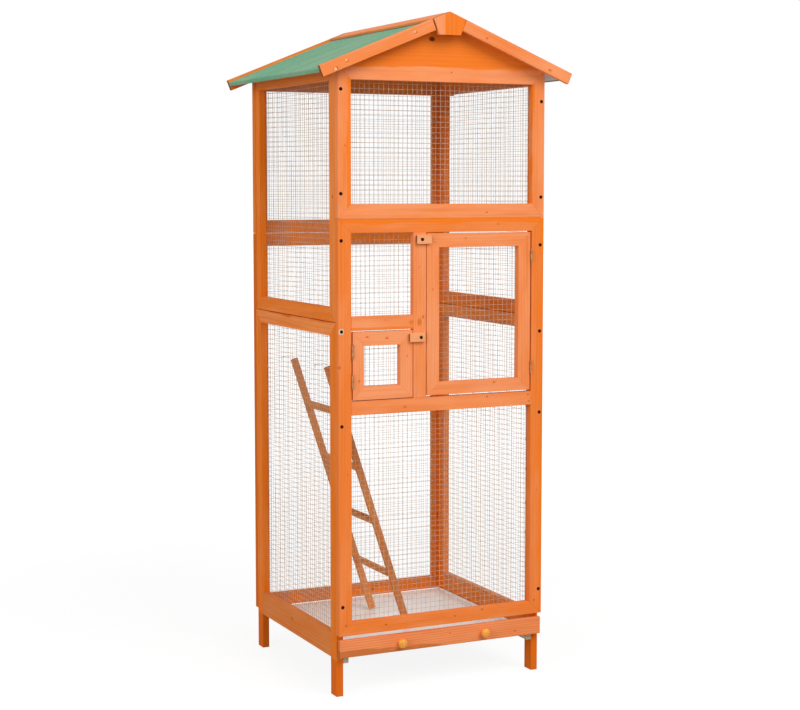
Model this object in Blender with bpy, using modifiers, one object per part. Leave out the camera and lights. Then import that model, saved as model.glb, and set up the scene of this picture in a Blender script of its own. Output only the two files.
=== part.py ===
"""Wooden bird cage: a framed aviary on four legs with two doors, a slide-out tray and a ladder.

Metres, +Z up. The origin is on the floor under the middle of the cage, and the front faces -Y.
Across is X, depth is Y, and every height is measured from the floor.
"""
import math

import bmesh
import bpy
from mathutils import Vector

# Space that touching pieces keep between them
GAP = 0.0003

# Overall size
HEIGHT = 1.650
ROOF_WIDTH = 0.680
ROOF_DEPTH = 0.630
BODY_WIDTH = 0.560
BODY_DEPTH = 0.566

# Timber of the frames
THICK = 0.018
MEMBER = 0.034

# Faces and edges that follow from the body's size
OUT_X = BODY_WIDTH / 2
IN_X = OUT_X - THICK
OUT_Y = BODY_DEPTH / 2
IN_Y = OUT_Y - THICK
EDGE_X = OUT_X - MEMBER
SIDE_Y = IN_Y - GAP
EDGE_Y = IN_Y - MEMBER

# Heights where the upper frames stand on the lower ones
FRONT_SEAM = 1.158
BACK_SEAM = 1.111
SIDE_SEAM = 0.911

# Heights of the windows, bottom and top
GABLE_BOTTOM = 1.485
FRONT_LOWER_WINDOW = (0.185, 0.688)
FRONT_SMALL_WINDOW = (0.925, FRONT_SEAM - MEMBER)
BACK_LOWER_WINDOW = (0.136, BACK_SEAM - MEMBER)
SIDE_LOWER_WINDOW = (0.153, SIDE_SEAM - MEMBER)
FRONT_BOTTOM = 0.1525
BACK_BOTTOM = 0.102
SIDE_BOTTOM = 0.092

# Door openings in the front: left edge, right edge, bottom and top
POST = (-0.082, -0.048)
SILL = 0.722
SMALL_OPENING = (-EDGE_X, POST[0], SILL, 0.891)
LARGE_OPENING = (POST[1], EDGE_X, SILL, FRONT_SEAM - MEMBER)

# Doors: the play at their free edges and the wider gap that holds the hinges
HINGE_GAP = 0.0036
DOOR_PLAY = 0.002
DOOR_TOP_PLAY = 0.003
SMALL_DOOR_STILES = (0.0291, 0.0336)
HINGE_AXIS_X = EDGE_X - HINGE_GAP / 2
HINGE_AXIS_Y = -OUT_Y - 0.003

# Butt hinges: a leaf on each side of the gap and a barrel in front of it
LEAF_THICK = 0.0012
LEAF_OFFSET = 0.0009
LEAF_REACH = (0.003, 0.020)
BARREL_RADIUS = 0.0026
PIN_RADIUS = 0.0008
PIN_HOLE_RADIUS = 0.0011
BARREL_SIDES = 12
LARGE_HINGE = 0.030
SMALL_HINGE = 0.034
LARGE_HINGE_HEIGHTS = {"upper": 1.063, "lower": 0.784}
SMALL_HINGE_HEIGHTS = {"upper": 0.841, "lower": 0.769}

# Turn buttons on the post between the doors
BUTTON_THICK = 0.008
BUTTON_HEIGHT = 0.022
BUTTON_CHAMFER = 0.002
BUTTON_HOLE = 0.0024
LARGE_BUTTON = {"pivot": (-0.062, 1.107), "left": 0.014, "right": 0.026}
SMALL_BUTTON = {"pivot": (-0.065, 0.870), "left": 0.030, "right": 0.012}
SCREW_SHANK = 0.0021
SCREW_HEAD = ((0.0, 0.0022), (0.0025, 0.0019), (0.0038, 0.0010), (0.0042, 0.0))

# Wire mesh: a flat lattice on the inner faces of the frames
WIRE = 0.002
MESH_THICK = 0.0015
MESH_OVERLAP = 0.010
PLAIN_MESH_THICK = 0.0003
SIDE_LOWER_ROWS = 8

# Roof: slope, boards and felted panels, with depths measured square to the slope
SLOPE = math.radians(22)
BARGE_WIDTH = 0.028
BARGE_THICK = 0.0115
FELT_REVEAL = 0.006
PANEL_THICK = 0.009
RIDGE_HALF = 0.044
BLOCK_DEPTH = 0.041
FRONT_LEFT_BARGE_GAP = 0.004

# Tray and the runners that carry it
RUNNER_WIDTH = 0.014
RUNNER_HEIGHT = 0.018
RUNNER_TOP = 0.0987
PAN_HALF_WIDTH = 0.259
PAN_BACK = 0.262
SHEET = 0.002
HEM_THICK = 0.0015
HEM_TOP = 0.107
TRAY_FRONT_HALF = 0.278
TRAY_FRONT_TOP = 0.142
TRAY_FRONT_THICK = 0.012
KNOB_X = 0.115
KNOB_PROFILE = ((0.0, 0.0170), (0.0070, 0.0166), (0.0105, 0.0145), (0.0120, 0.0110),
                (0.0116, 0.0075), (0.0090, 0.0040), (0.0080, 0.0), (0.0, 0.0))

# Ladder: it leans to the left wall, hangs there on two hooks and stands on the tray
LADDER_LEAN = math.radians(18)
LADDER_LENGTH = 0.719
LADDER_FOOT_X = -0.017
LADDER_RAIL = (0.018, 0.009)
LADDER_RAIL_Y = (-0.100, 0.120)
RUNG_FIRST = 0.1495
RUNG_STEP = 0.1482
RUNG_COUNT = 4
HOOK_RADIUS = 0.00125
HOOK_BEND = 0.003
HOOK_CLEARANCE = 0.0005
HOOK_DROP = 0.009
HOOK_BEHIND = 0.0035

# Rotations that stand a flat outline up: across and up become X and Z, or Y and Z
FACE_FRONT = (math.pi / 2, 0, 0)
FACE_SIDE = (math.pi / 2, 0, math.pi / 2)


def clear_scene():
    for item in list(bpy.data.objects):
        bpy.data.objects.remove(item, do_unlink=True)


def new_collection(name):
    group = bpy.data.collections.new(name)
    bpy.context.scene.collection.children.link(group)
    return group


def paint(name, colour, roughness, metallic=0.0):
    """A Principled material from a screen colour of 0 to 255."""
    material = bpy.data.materials.new(name)
    material.use_nodes = True
    shader = material.node_tree.nodes["Principled BSDF"]
    linear = [(channel / 255) ** 2.2 for channel in colour]
    shader.inputs["Base Color"].default_value = (*linear, 1.0)
    shader.inputs["Roughness"].default_value = roughness
    shader.inputs["Metallic"].default_value = metallic
    return material


class Workshop:
    """Makes the pieces and puts each in the cage's collection with its material."""

    def __init__(self):
        self.group = new_collection("bird_cage")
        self.wood = paint("stained_pine", (248, 140, 70), 0.55)
        self.button_wood = paint("pale_pine", (250, 170, 110), 0.55)
        self.raw_wood = paint("unstained_pine", (222, 190, 150), 0.7)
        self.knob_wood = paint("varnished_beech", (240, 165, 50), 0.4)
        self.wire = paint("galvanised_wire", (165, 165, 165), 0.4, 1.0)
        self.felt = paint("green_roof_felt", (105, 165, 130), 0.9)
        self.sheet = paint("pale_sheet_metal", (240, 238, 235), 0.45, 0.2)
        self.steel = paint("hinge_steel", (150, 150, 150), 0.35, 1.0)
        self.screw = paint("black_screw", (30, 25, 25), 0.4, 0.6)

    def pivot(self, name, location):
        """An empty on a joint's axis, which carries the pieces of a moving body."""
        empty = bpy.data.objects.new(name, None)
        empty.location = location
        self.group.objects.link(empty)
        return empty

    def add(self, name, data, material, location, rotation=(0, 0, 0), parent=None):
        item = bpy.data.objects.new(name, data)
        item.rotation_euler = rotation
        item.location = Vector(location)
        if parent:
            item.parent = parent
            item.location -= parent.location
        if not data.materials:
            data.materials.append(material)
        self.group.objects.link(item)
        return item

    def box(self, name, size, centre, material, rotation=(0, 0, 0), parent=None):
        """A straight piece of timber or sheet, given by its size and its centre."""
        work = bmesh.new()
        bmesh.ops.create_cube(work, size=1.0)
        bmesh.ops.scale(work, vec=size, verts=work.verts)
        mesh = bpy.data.meshes.new(name)
        work.to_mesh(mesh)
        work.free()
        return self.add(name, mesh, material, centre, rotation, parent)

    def plate(self, name, loops, thickness, location, facing, material, parent=None):
        """A flat outline with its holes, thickened evenly about its location."""
        curve = bpy.data.curves.new(name, "CURVE")
        curve.dimensions = "2D"
        curve.fill_mode = "BOTH"
        curve.extrude = thickness / 2
        curve.resolution_u = 1
        for loop in loops:
            spline = curve.splines.new("POLY")
            spline.points.add(len(loop) - 1)
            for point, (across, up) in zip(spline.points, loop):
                point.co = (across, up, 0, 1)
            spline.use_cyclic_u = True
        return self.add(name, curve, material, location, facing, parent)

    def turned(self, name, profile, steps, location, material, parent=None):
        """A turned piece whose axis points forwards; the profile runs down its outer side."""
        mesh = bpy.data.meshes.new(name)
        points = [(radius, 0, height) for radius, height in profile]
        edges = [(index, index + 1) for index in range(len(points) - 1)]
        mesh.from_pydata(points, edges, [])
        item = self.add(name, mesh, material, location, FACE_FRONT, parent)
        turn = item.modifiers.new("turn", "SCREW")
        turn.steps = steps
        turn.render_steps = steps
        turn.use_merge_vertices = True
        turn.merge_threshold = 0.00001
        turn.use_smooth_shade = True
        return item

    def bent_wire(self, name, points, radius, material, parent=None):
        """A round wire along points given from the parent."""
        curve = bpy.data.curves.new(name, "CURVE")
        curve.dimensions = "3D"
        curve.bevel_depth = radius
        curve.bevel_resolution = 2
        curve.use_fill_caps = True
        spline = curve.splines.new("POLY")
        spline.points.add(len(points) - 1)
        for place, point in zip(spline.points, points):
            place.co = (*point, 1)
        return self.add(name, curve, material, parent.location, (0, 0, 0), parent)


def rectangle(left, right, bottom, top):
    return [(left, bottom), (right, bottom), (right, top), (left, top)]


def hole(left, right, bottom, top):
    """A rectangle that runs the other way round, for the inside of an outline."""
    return rectangle(left, right, bottom, top)[::-1]


def round_hole(radius, sides):
    angles = [-2 * math.pi * index / sides for index in range(sides)]
    return [(radius * math.cos(angle), radius * math.sin(angle)) for angle in angles]


def lattice(left, right, bottom, top, columns, rows):
    """The outline of a flat wire lattice with this many gaps across and up."""
    pitch_x = (right - left - WIRE) / columns
    pitch_z = (top - bottom - WIRE) / rows
    loops = [rectangle(left, right, bottom, top)]
    for column in range(columns):
        for row in range(rows):
            x = left + WIRE + column * pitch_x
            z = bottom + WIRE + row * pitch_z
            loops.append(hole(x, x + pitch_x - WIRE, z, z + pitch_z - WIRE))
    return loops


def roof_point(side, along, depth):
    """A point of the roof's section: distance down the slope from the ridge and depth below it."""
    x = side * (along * math.cos(SLOPE) - depth * math.sin(SLOPE))
    z = HEIGHT - along * math.sin(SLOPE) - depth * math.cos(SLOPE)
    return (x, z)


def ridge_point(side, depth):
    """The point at this depth where the two slopes meet, just short of the middle."""
    along = (GAP / 2 + depth * math.sin(SLOPE)) / math.cos(SLOPE)
    return roof_point(side, along, depth)


def roof_underside(x):
    """Height just under the roof panels at a distance from the middle."""
    depth = FELT_REVEAL + PANEL_THICK + GAP
    return HEIGHT - depth / math.cos(SLOPE) - abs(x) * math.tan(SLOPE)


def gable_outline(bottom):
    eave = roof_underside(OUT_X)
    ridge = roof_underside(0)
    return [(-OUT_X, bottom), (OUT_X, bottom), (OUT_X, eave), (0, ridge), (-OUT_X, eave)]


def rounded(corners, radius, steps):
    """A path whose inner corners are arcs of this radius."""
    path = [corners[0]]
    for before, corner, after in zip(corners, corners[1:], corners[2:]):
        back = (before - corner).normalized()
        ahead = (after - corner).normalized()
        half = back.angle(ahead) / 2
        centre = corner + (back + ahead).normalized() * radius / math.sin(half)
        start = (corner + back / math.tan(half) * radius - centre).normalized()
        end = (corner + ahead / math.tan(half) * radius - centre).normalized()
        path += [centre + start.slerp(end, step / steps) * radius for step in range(steps + 1)]
    path.append(corners[-1])
    return path


def build_end_frames(shop):
    """The front and back panels, each a lower frame and an upper frame with its gable."""
    window = (-EDGE_X, EDGE_X)
    front_y = -OUT_Y + THICK / 2
    back_y = OUT_Y - THICK / 2
    half = GAP / 2
    front_upper = [gable_outline(FRONT_SEAM + half), hole(*window, FRONT_SEAM + MEMBER, GABLE_BOTTOM)]
    front_door = [
        rectangle(-OUT_X, OUT_X, FRONT_BOTTOM, FRONT_SEAM - half),
        hole(*window, *FRONT_LOWER_WINDOW),
        hole(-EDGE_X, POST[0], *FRONT_SMALL_WINDOW),
        hole(*SMALL_OPENING),
        hole(*LARGE_OPENING),
    ]
    back_upper = [gable_outline(BACK_SEAM + half), hole(*window, BACK_SEAM + MEMBER, GABLE_BOTTOM)]
    back_lower = [
        rectangle(-OUT_X, OUT_X, BACK_BOTTOM, BACK_SEAM - half),
        hole(*window, *BACK_LOWER_WINDOW),
    ]
    frames = {
        "front_upper_frame": (front_upper, front_y),
        "front_door_frame": (front_door, front_y),
        "back_upper_frame": (back_upper, back_y),
        "back_lower_frame": (back_lower, back_y),
    }
    for name, (loops, y) in frames.items():
        shop.plate(name, loops, THICK, (0, y, 0), FACE_FRONT, shop.wood)


def build_side_frames(shop):
    """The left and right panels; the lower frames' stiles run down as the four legs."""
    half = GAP / 2
    upper = [
        rectangle(-SIDE_Y, SIDE_Y, SIDE_SEAM + half, roof_underside(OUT_X)),
        hole(-EDGE_Y, EDGE_Y, SIDE_SEAM + MEMBER, GABLE_BOTTOM),
    ]
    legs = [
        (-SIDE_Y, 0), (-EDGE_Y, 0), (-EDGE_Y, SIDE_BOTTOM), (EDGE_Y, SIDE_BOTTOM),
        (EDGE_Y, 0), (SIDE_Y, 0), (SIDE_Y, SIDE_SEAM - half), (-SIDE_Y, SIDE_SEAM - half),
    ]
    lower = [legs, hole(-EDGE_Y, EDGE_Y, *SIDE_LOWER_WINDOW)]
    for side, sign in (("left", -1), ("right", 1)):
        x = sign * (OUT_X - THICK / 2)
        shop.plate(f"{side}_upper_frame", upper, THICK, (x, 0, 0), FACE_SIDE, shop.wood)
        shop.plate(f"{side}_lower_frame", lower, THICK, (x, 0, 0), FACE_SIDE, shop.wood)


def mesh_panel(shop, name, window, gaps, location, facing, parent=None):
    """Wire mesh behind a window, overlapping the timber round it."""
    left, right, bottom, top = window
    grow = MESH_OVERLAP
    loops = lattice(left - grow, right + grow, bottom - grow, top + grow, *gaps)
    return shop.plate(name, loops, MESH_THICK, location, facing, shop.wire, parent)


def build_meshes(shop):
    """The wire mesh of every fixed window, stapled to the inner faces."""
    inset = GAP + MESH_THICK / 2
    front = (0, -IN_Y + inset, 0)
    back = (0, IN_Y - inset, 0)
    small = (-EDGE_X, POST[0], *FRONT_SMALL_WINDOW)
    wide = (-EDGE_X, EDGE_X)
    front_upper = (*wide, FRONT_SEAM + MEMBER, GABLE_BOTTOM)
    back_upper = (*wide, BACK_SEAM + MEMBER, GABLE_BOTTOM)
    mesh_panel(shop, "front_upper_mesh", front_upper, (5, 3), front, FACE_FRONT)
    mesh_panel(shop, "front_window_mesh", small, (2, 2), front, FACE_FRONT)
    mesh_panel(shop, "front_lower_mesh", (*wide, *FRONT_LOWER_WINDOW), (5, 5), front, FACE_FRONT)
    mesh_panel(shop, "back_upper_mesh", back_upper, (5, 4), back, FACE_FRONT)

    # The largest mesh is a plain sheet, so thin that all the meshes together weigh what they should
    grow = MESH_OVERLAP
    bottom, top = BACK_LOWER_WINDOW
    sheet = [rectangle(-EDGE_X - grow, EDGE_X + grow, bottom - grow, top + grow)]
    sheet_y = IN_Y - GAP - PLAIN_MESH_THICK / 2
    shop.plate("back_lower_mesh", sheet, PLAIN_MESH_THICK, (0, sheet_y, 0), FACE_FRONT, shop.wire)

    deep = (-EDGE_Y, EDGE_Y)
    for side, sign in (("left", -1), ("right", 1)):
        wall = (sign * (IN_X - inset), 0, 0)
        upper = (*deep, SIDE_SEAM + MEMBER, GABLE_BOTTOM)
        lower = (*deep, *SIDE_LOWER_WINDOW)
        mesh_panel(shop, f"{side}_upper_mesh", upper, (5, 6), wall, FACE_SIDE)
        mesh_panel(shop, f"{side}_lower_mesh", lower, (5, SIDE_LOWER_ROWS), wall, FACE_SIDE)


def build_roof(shop):
    """Felted panels under ridge boards, closed at both ends by barge boards and a ridge block."""
    end = ROOF_WIDTH / 2 / math.cos(SLOPE)
    shoulder = RIDGE_HALF / math.cos(SLOPE)
    inner = ROOF_DEPTH / 2 - BARGE_THICK - GAP
    board_y = ROOF_DEPTH / 2 - BARGE_THICK / 2
    felt_bottom = FELT_REVEAL + PANEL_THICK
    for side, sign in (("left", -1), ("right", 1)):
        panel = [
            ridge_point(sign, FELT_REVEAL), ridge_point(sign, felt_bottom),
            roof_point(sign, end, felt_bottom), roof_point(sign, end, FELT_REVEAL),
        ]
        cap = [
            ridge_point(sign, 0), ridge_point(sign, FELT_REVEAL - GAP),
            roof_point(sign, shoulder, FELT_REVEAL - GAP), roof_point(sign, shoulder, 0),
        ]
        shop.plate(f"{side}_roof_panel", [panel], 2 * inner, (0, 0, 0), FACE_FRONT, shop.felt)
        shop.plate(f"{side}_ridge_board", [cap], 2 * inner, (0, 0, 0), FACE_FRONT, shop.wood)
        for place, facing in (("front", -1), ("back", 1)):
            wide_gap = place == "front" and side == "left"
            start = shoulder + (FRONT_LEFT_BARGE_GAP if wide_gap else GAP)
            board = [
                roof_point(sign, start, 0), roof_point(sign, start, BARGE_WIDTH),
                roof_point(sign, end, BARGE_WIDTH), roof_point(sign, end, 0),
            ]
            name = f"{place}_{side}_barge_board"
            shop.plate(name, [board], BARGE_THICK, (0, facing * board_y, 0), FACE_FRONT, shop.wood)
    block = [
        (0, HEIGHT), roof_point(-1, shoulder, 0), roof_point(-1, shoulder, BLOCK_DEPTH),
        roof_point(1, shoulder, BLOCK_DEPTH), roof_point(1, shoulder, 0),
    ]
    for place, facing in (("front", -1), ("back", 1)):
        centre = (0, facing * board_y, 0)
        shop.plate(f"{place}_ridge_block", [block], BARGE_THICK, centre, FACE_FRONT, shop.wood)


def welded(item):
    """Makes a curve object a mesh object in the same place, with its caps joined on."""
    bpy.context.view_layer.update()
    graph = bpy.context.evaluated_depsgraph_get()
    mesh = bpy.data.meshes.new_from_object(item.evaluated_get(graph))
    mesh.transform(item.matrix_world)
    work = bmesh.new()
    work.from_mesh(mesh)
    bmesh.ops.remove_doubles(work, verts=work.verts, dist=0.00001)
    work.to_mesh(mesh)
    work.free()
    solid = bpy.data.objects.new(item.name, mesh)
    bpy.context.scene.collection.objects.link(solid)
    bpy.data.objects.remove(item)
    return solid


def cylinder(name, radius, bottom, top):
    """An upright cylinder on the Z axis, for joining to or cutting from another piece."""
    work = bmesh.new()
    bmesh.ops.create_cone(work, cap_ends=True, segments=BARREL_SIDES, radius1=radius, radius2=radius,
                          depth=top - bottom)
    bmesh.ops.translate(work, vec=(0, 0, (top + bottom) / 2), verts=work.verts)
    mesh = bpy.data.meshes.new(name)
    work.to_mesh(mesh)
    work.free()
    item = bpy.data.objects.new(name, mesh)
    bpy.context.scene.collection.objects.link(item)
    return item


def combined(base, steps):
    """The mesh of a piece after joining others to it or cutting them from it."""
    for operation, tool in steps:
        change = base.modifiers.new(operation.lower(), "BOOLEAN")
        change.operation = operation
        change.object = tool
    bpy.context.view_layer.update()
    graph = bpy.context.evaluated_depsgraph_get()
    mesh = bpy.data.meshes.new_from_object(base.evaluated_get(graph))
    for tool in [base] + [item for _, item in steps]:
        bpy.data.objects.remove(tool)
    return mesh


def hinge_leaf_meshes(shop, height):
    """The two leaves of a butt hinge round a pin on the Z axis, for a door to the left of it."""
    top = height / 2
    knuckle = height / 6
    near, far = LEAF_REACH
    frame_outline = [
        (far, -top), (far, top), (0, top), (0, knuckle + GAP), (near, knuckle + GAP),
        (near, -knuckle - GAP), (0, -knuckle - GAP), (0, -top),
    ]
    door_outline = [
        (far, -top), (far, top), (near, top), (near, knuckle), (0, knuckle),
        (0, -knuckle), (near, -knuckle), (near, -top),
    ]
    frame = shop.plate("frame_leaf", [frame_outline], LEAF_THICK, (LEAF_OFFSET, 0, 0), FACE_SIDE, shop.steel)
    door = shop.plate("door_leaf", [door_outline], LEAF_THICK, (-LEAF_OFFSET, 0, 0), FACE_SIDE, shop.steel)
    frame_mesh = combined(welded(frame), [
        ("UNION", cylinder("upper_knuckle", BARREL_RADIUS, knuckle + GAP, top)),
        ("UNION", cylinder("lower_knuckle", BARREL_RADIUS, -top, -knuckle - GAP)),
        ("UNION", cylinder("pin", PIN_RADIUS, -top + knuckle, top - knuckle)),
    ])
    door_mesh = combined(welded(door), [
        ("UNION", cylinder("middle_knuckle", BARREL_RADIUS, -knuckle, knuckle)),
        ("DIFFERENCE", cylinder("pin_hole", PIN_HOLE_RADIUS, -top, top)),
    ])
    return frame_mesh, door_mesh


def build_door(shop, name, opening, stiles, hinge_side, hinge_height, hinge_heights, gaps):
    """A mitred door frame with its mesh, hung in its opening on two butt hinges."""
    left, right, bottom, top = opening
    left += HINGE_GAP if hinge_side < 0 else DOOR_PLAY
    right -= HINGE_GAP if hinge_side > 0 else DOOR_PLAY
    bottom += DOOR_PLAY
    top -= DOOR_TOP_PLAY
    axis = (hinge_side * HINGE_AXIS_X, HINGE_AXIS_Y, (bottom + top) / 2)
    pivot = shop.pivot(f"{name}_pivot", axis)
    window = (left + stiles[0], right - stiles[1], bottom + MEMBER, top - MEMBER)
    loops = [rectangle(left, right, bottom, top), hole(*window)]
    shop.plate(f"{name}_frame", loops, THICK, (0, -OUT_Y + THICK / 2, 0), FACE_FRONT, shop.wood, pivot)
    inner = (0, -IN_Y + GAP + MESH_THICK / 2, 0)
    mesh_panel(shop, f"{name}_mesh", window, gaps, inner, FACE_FRONT, pivot)
    frame_leaf, door_leaf = hinge_leaf_meshes(shop, hinge_height)
    turn = (0, 0, 0) if hinge_side > 0 else (0, math.pi, 0)
    for place, height in hinge_heights.items():
        where = (axis[0], axis[1], height)
        shop.add(f"{name}_{place}_frame_leaf", frame_leaf, shop.steel, where, turn)
        shop.add(f"{name}_{place}_door_leaf", door_leaf, shop.steel, where, turn, pivot)


def build_button(shop, name, button):
    """A wooden turn button on a round-headed screw in the post."""
    x, z = button["pivot"]
    pivot = shop.pivot(f"{name}_pivot", (x, -OUT_Y, z))
    left, right, up, cut = -button["left"], button["right"], BUTTON_HEIGHT / 2, BUTTON_CHAMFER
    outline = [
        (left + cut, -up), (right - cut, -up), (right, -up + cut), (right, up - cut),
        (right - cut, up), (left + cut, up), (left, up - cut), (left, -up + cut),
    ]
    back = -OUT_Y - GAP
    front = back - BUTTON_THICK
    loops = [outline, round_hole(BUTTON_HOLE, 12)]
    middle = (x, (back + front) / 2, z)
    shop.plate(name, loops, BUTTON_THICK, middle, FACE_FRONT, shop.button_wood, pivot)
    shank_end = -(BUTTON_THICK + GAP)
    profile = [*SCREW_HEAD, (SCREW_SHANK, 0.0), (SCREW_SHANK, shank_end), (0.0, shank_end)]
    shop.turned(f"{name}_screw", profile, 12, (x, front - GAP, z), shop.screw)


def build_tray(shop):
    """The runners, and the tray with its front board, knobs and sheet-metal pan."""
    for side, sign in (("left", -1), ("right", 1)):
        centre = (sign * (IN_X - GAP - RUNNER_WIDTH / 2), 0, RUNNER_TOP - RUNNER_HEIGHT / 2)
        shop.box(f"{side}_tray_runner", (RUNNER_WIDTH, 2 * SIDE_Y, RUNNER_HEIGHT), centre, shop.raw_wood)
    bottom = RUNNER_TOP + GAP
    slide = shop.pivot("tray_slide", (0, -OUT_Y, bottom))
    board_back = -OUT_Y + TRAY_FRONT_THICK
    board_size = (2 * TRAY_FRONT_HALF, TRAY_FRONT_THICK, TRAY_FRONT_TOP - bottom)
    board_centre = (0, (board_back - OUT_Y) / 2, (TRAY_FRONT_TOP + bottom) / 2)
    shop.box("tray_front", board_size, board_centre, shop.wood, parent=slide)
    for side, sign in (("left", -1), ("right", 1)):
        where = (sign * KNOB_X, -OUT_Y - GAP, board_centre[2])
        shop.turned(f"{side}_tray_knob", KNOB_PROFILE, 16, where, shop.knob_wood, slide)
    out, inner, floor = PAN_HALF_WIDTH, PAN_HALF_WIDTH - HEM_THICK, bottom + SHEET
    section = [
        (-out, bottom), (out, bottom), (out, HEM_TOP), (inner, HEM_TOP), (inner, floor),
        (-inner, floor), (-inner, HEM_TOP), (-out, HEM_TOP),
    ]
    pan_front = board_back + GAP
    middle = (0, (pan_front + PAN_BACK) / 2, 0)
    shop.plate("tray_pan", [section], PAN_BACK - pan_front, middle, FACE_FRONT, shop.sheet, slide)


def build_ladder(shop):
    """The ladder, whose hooks hang over a wire of the left lower mesh."""
    grow = MESH_OVERLAP
    bottom, top = SIDE_LOWER_WINDOW
    pitch = (top - bottom + 2 * grow - WIRE) / SIDE_LOWER_ROWS
    bar_z = top + grow - WIRE / 2 - pitch
    bar_x = -(IN_X - GAP - MESH_THICK / 2)
    pivot = shop.pivot("ladder_pivot", (bar_x, 0, bar_z))
    along = Vector((-math.sin(LADDER_LEAN), 0, math.cos(LADDER_LEAN)))
    normal = Vector((math.cos(LADDER_LEAN), 0, math.sin(LADDER_LEAN)))
    depth, width = LADDER_RAIL
    foot = Vector((LADDER_FOOT_X, 0, RUNNER_TOP + SHEET + 2 * GAP)) + normal * depth / 2
    lean = (0, -LADDER_LEAN, 0)
    for place, y in zip(("front", "rear"), LADDER_RAIL_Y):
        across = Vector((0, y, 0))
        centre = foot + along * LADDER_LENGTH / 2 + across
        size = (depth, width, LADDER_LENGTH)
        shop.box(f"ladder_{place}_rail", size, centre, shop.wood, lean, pivot)
        start = foot + along * (LADDER_LENGTH + GAP) - pivot.location
        level = WIRE / 2 + HOOK_CLEARANCE + HOOK_RADIUS
        corner = start + along * (level - start.z) / along.z
        corners = [
            start + across, corner + across,
            Vector((-HOOK_BEHIND, y, level)), Vector((-HOOK_BEHIND, y, level - HOOK_DROP)),
        ]
        path = rounded(corners, HOOK_BEND, 5)
        shop.bent_wire(f"ladder_{place}_hook", path, HOOK_RADIUS, shop.wire, pivot)
    low, high = LADDER_RAIL_Y
    rung_size = (width, high - low - width - 2 * GAP, depth)
    for index in range(RUNG_COUNT):
        centre = foot + along * (RUNG_FIRST + index * RUNG_STEP) + Vector((0, (low + high) / 2, 0))
        shop.box(f"ladder_rung_{index + 1}", rung_size, centre, shop.wood, lean, pivot)


def main():
    clear_scene()
    shop = Workshop()
    build_end_frames(shop)
    build_side_frames(shop)
    build_meshes(shop)
    build_roof(shop)
    build_door(shop, "large_door", LARGE_OPENING, (MEMBER, MEMBER), 1, LARGE_HINGE,
               LARGE_HINGE_HEIGHTS, (3, 4))
    build_door(shop, "small_door", SMALL_OPENING, SMALL_DOOR_STILES, -1, SMALL_HINGE,
               SMALL_HINGE_HEIGHTS, (2, 2))
    build_button(shop, "large_door_button", LARGE_BUTTON)
    build_button(shop, "small_door_button", SMALL_BUTTON)
    build_tray(shop)
    build_ladder(shop)


main()
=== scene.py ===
"""A wooden bird cage on legs: stained frames, welded mesh, felted roof, two doors, tray and ladder.

Metres, +Z up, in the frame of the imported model. The front faces -Y, across is X and depth is Y.
Timber is made board by board. Each board carries its own grain coordinates, so one wood material
gives long grain on the faces, end grain on the ends and a seam at each joint.
"""
import random
from math import cos, pi, radians, sin, tan

import bmesh
import bpy
from mathutils import Matrix, Vector, noise


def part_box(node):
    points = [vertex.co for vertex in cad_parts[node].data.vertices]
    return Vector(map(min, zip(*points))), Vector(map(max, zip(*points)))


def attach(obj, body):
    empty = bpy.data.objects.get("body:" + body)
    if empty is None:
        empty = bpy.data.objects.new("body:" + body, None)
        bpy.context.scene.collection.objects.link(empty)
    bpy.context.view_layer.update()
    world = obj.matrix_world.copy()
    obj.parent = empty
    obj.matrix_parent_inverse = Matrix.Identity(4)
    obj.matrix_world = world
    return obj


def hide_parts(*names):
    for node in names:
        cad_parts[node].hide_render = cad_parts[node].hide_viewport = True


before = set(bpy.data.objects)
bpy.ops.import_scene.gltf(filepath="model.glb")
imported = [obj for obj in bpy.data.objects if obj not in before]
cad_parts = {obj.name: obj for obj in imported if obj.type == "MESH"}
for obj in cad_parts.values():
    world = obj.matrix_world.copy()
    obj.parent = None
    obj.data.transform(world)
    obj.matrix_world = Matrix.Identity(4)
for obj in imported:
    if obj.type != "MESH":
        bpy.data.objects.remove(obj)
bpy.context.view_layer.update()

# Strength of the even light from all round, and the lamps: place, size and power
AMBIENT = 0.46
LAMPS = {"key": ((1.8, -6.3, 6.3), 6.0, 414), "fill": ((-5.4, -3.0, 2.6), 4.0, 148)}
LAMP_AIM = (0, 0, 0.8)

# Camera, with its angles in degrees
CAMERA_PLACE = (-1.8870, -3.9811, 1.2290)
CAMERA_TILT = 85
CAMERA_TURN = -25.563
CAMERA_LENS = 76.75
CAMERA_SENSOR = 36.0
CAMERA_SHIFT = -0.0215

# Space that neighbouring solids keep between them
GAP = 0.0003

# Overall size, and the faces and members of the body
HEIGHT = 1.650
ROOF_HALF_WIDTH = 0.340
ROOF_HALF_DEPTH = 0.315
OUT_X = 0.280
IN_X = 0.262
OUT_Y = 0.283
IN_Y = 0.265
MEMBER = 0.034
EDGE_X = OUT_X - MEMBER
SIDE_Y = IN_Y - GAP
EDGE_Y = IN_Y - MEMBER

# Heights of seams, window edges and rails
FRONT_SEAM = 1.158
BACK_SEAM = 1.111
SIDE_SEAM = 0.911
GABLE_BOTTOM = 1.485
FRONT_BOTTOM = 0.1525
FRONT_LOWER_WINDOW = (0.185, 0.688)
SMALL_WINDOW_BOTTOM = 0.925
SILL = 0.722
SMALL_OPENING_TOP = 0.891
BACK_BOTTOM = 0.102
BACK_LOWER_WINDOW_BOTTOM = 0.136
SIDE_BOTTOM = 0.092
SIDE_LOWER_WINDOW_BOTTOM = 0.153

# Short middle stile over the sill: left and right
POST = (-0.082, -0.048)

# Half of the open line that shows between the upper and lower panels
FRONT_SEAM_GAP = 0.0002
BACK_SEAM_GAP = 0.0005
SIDE_SEAM_GAP = 0.0008

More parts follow.
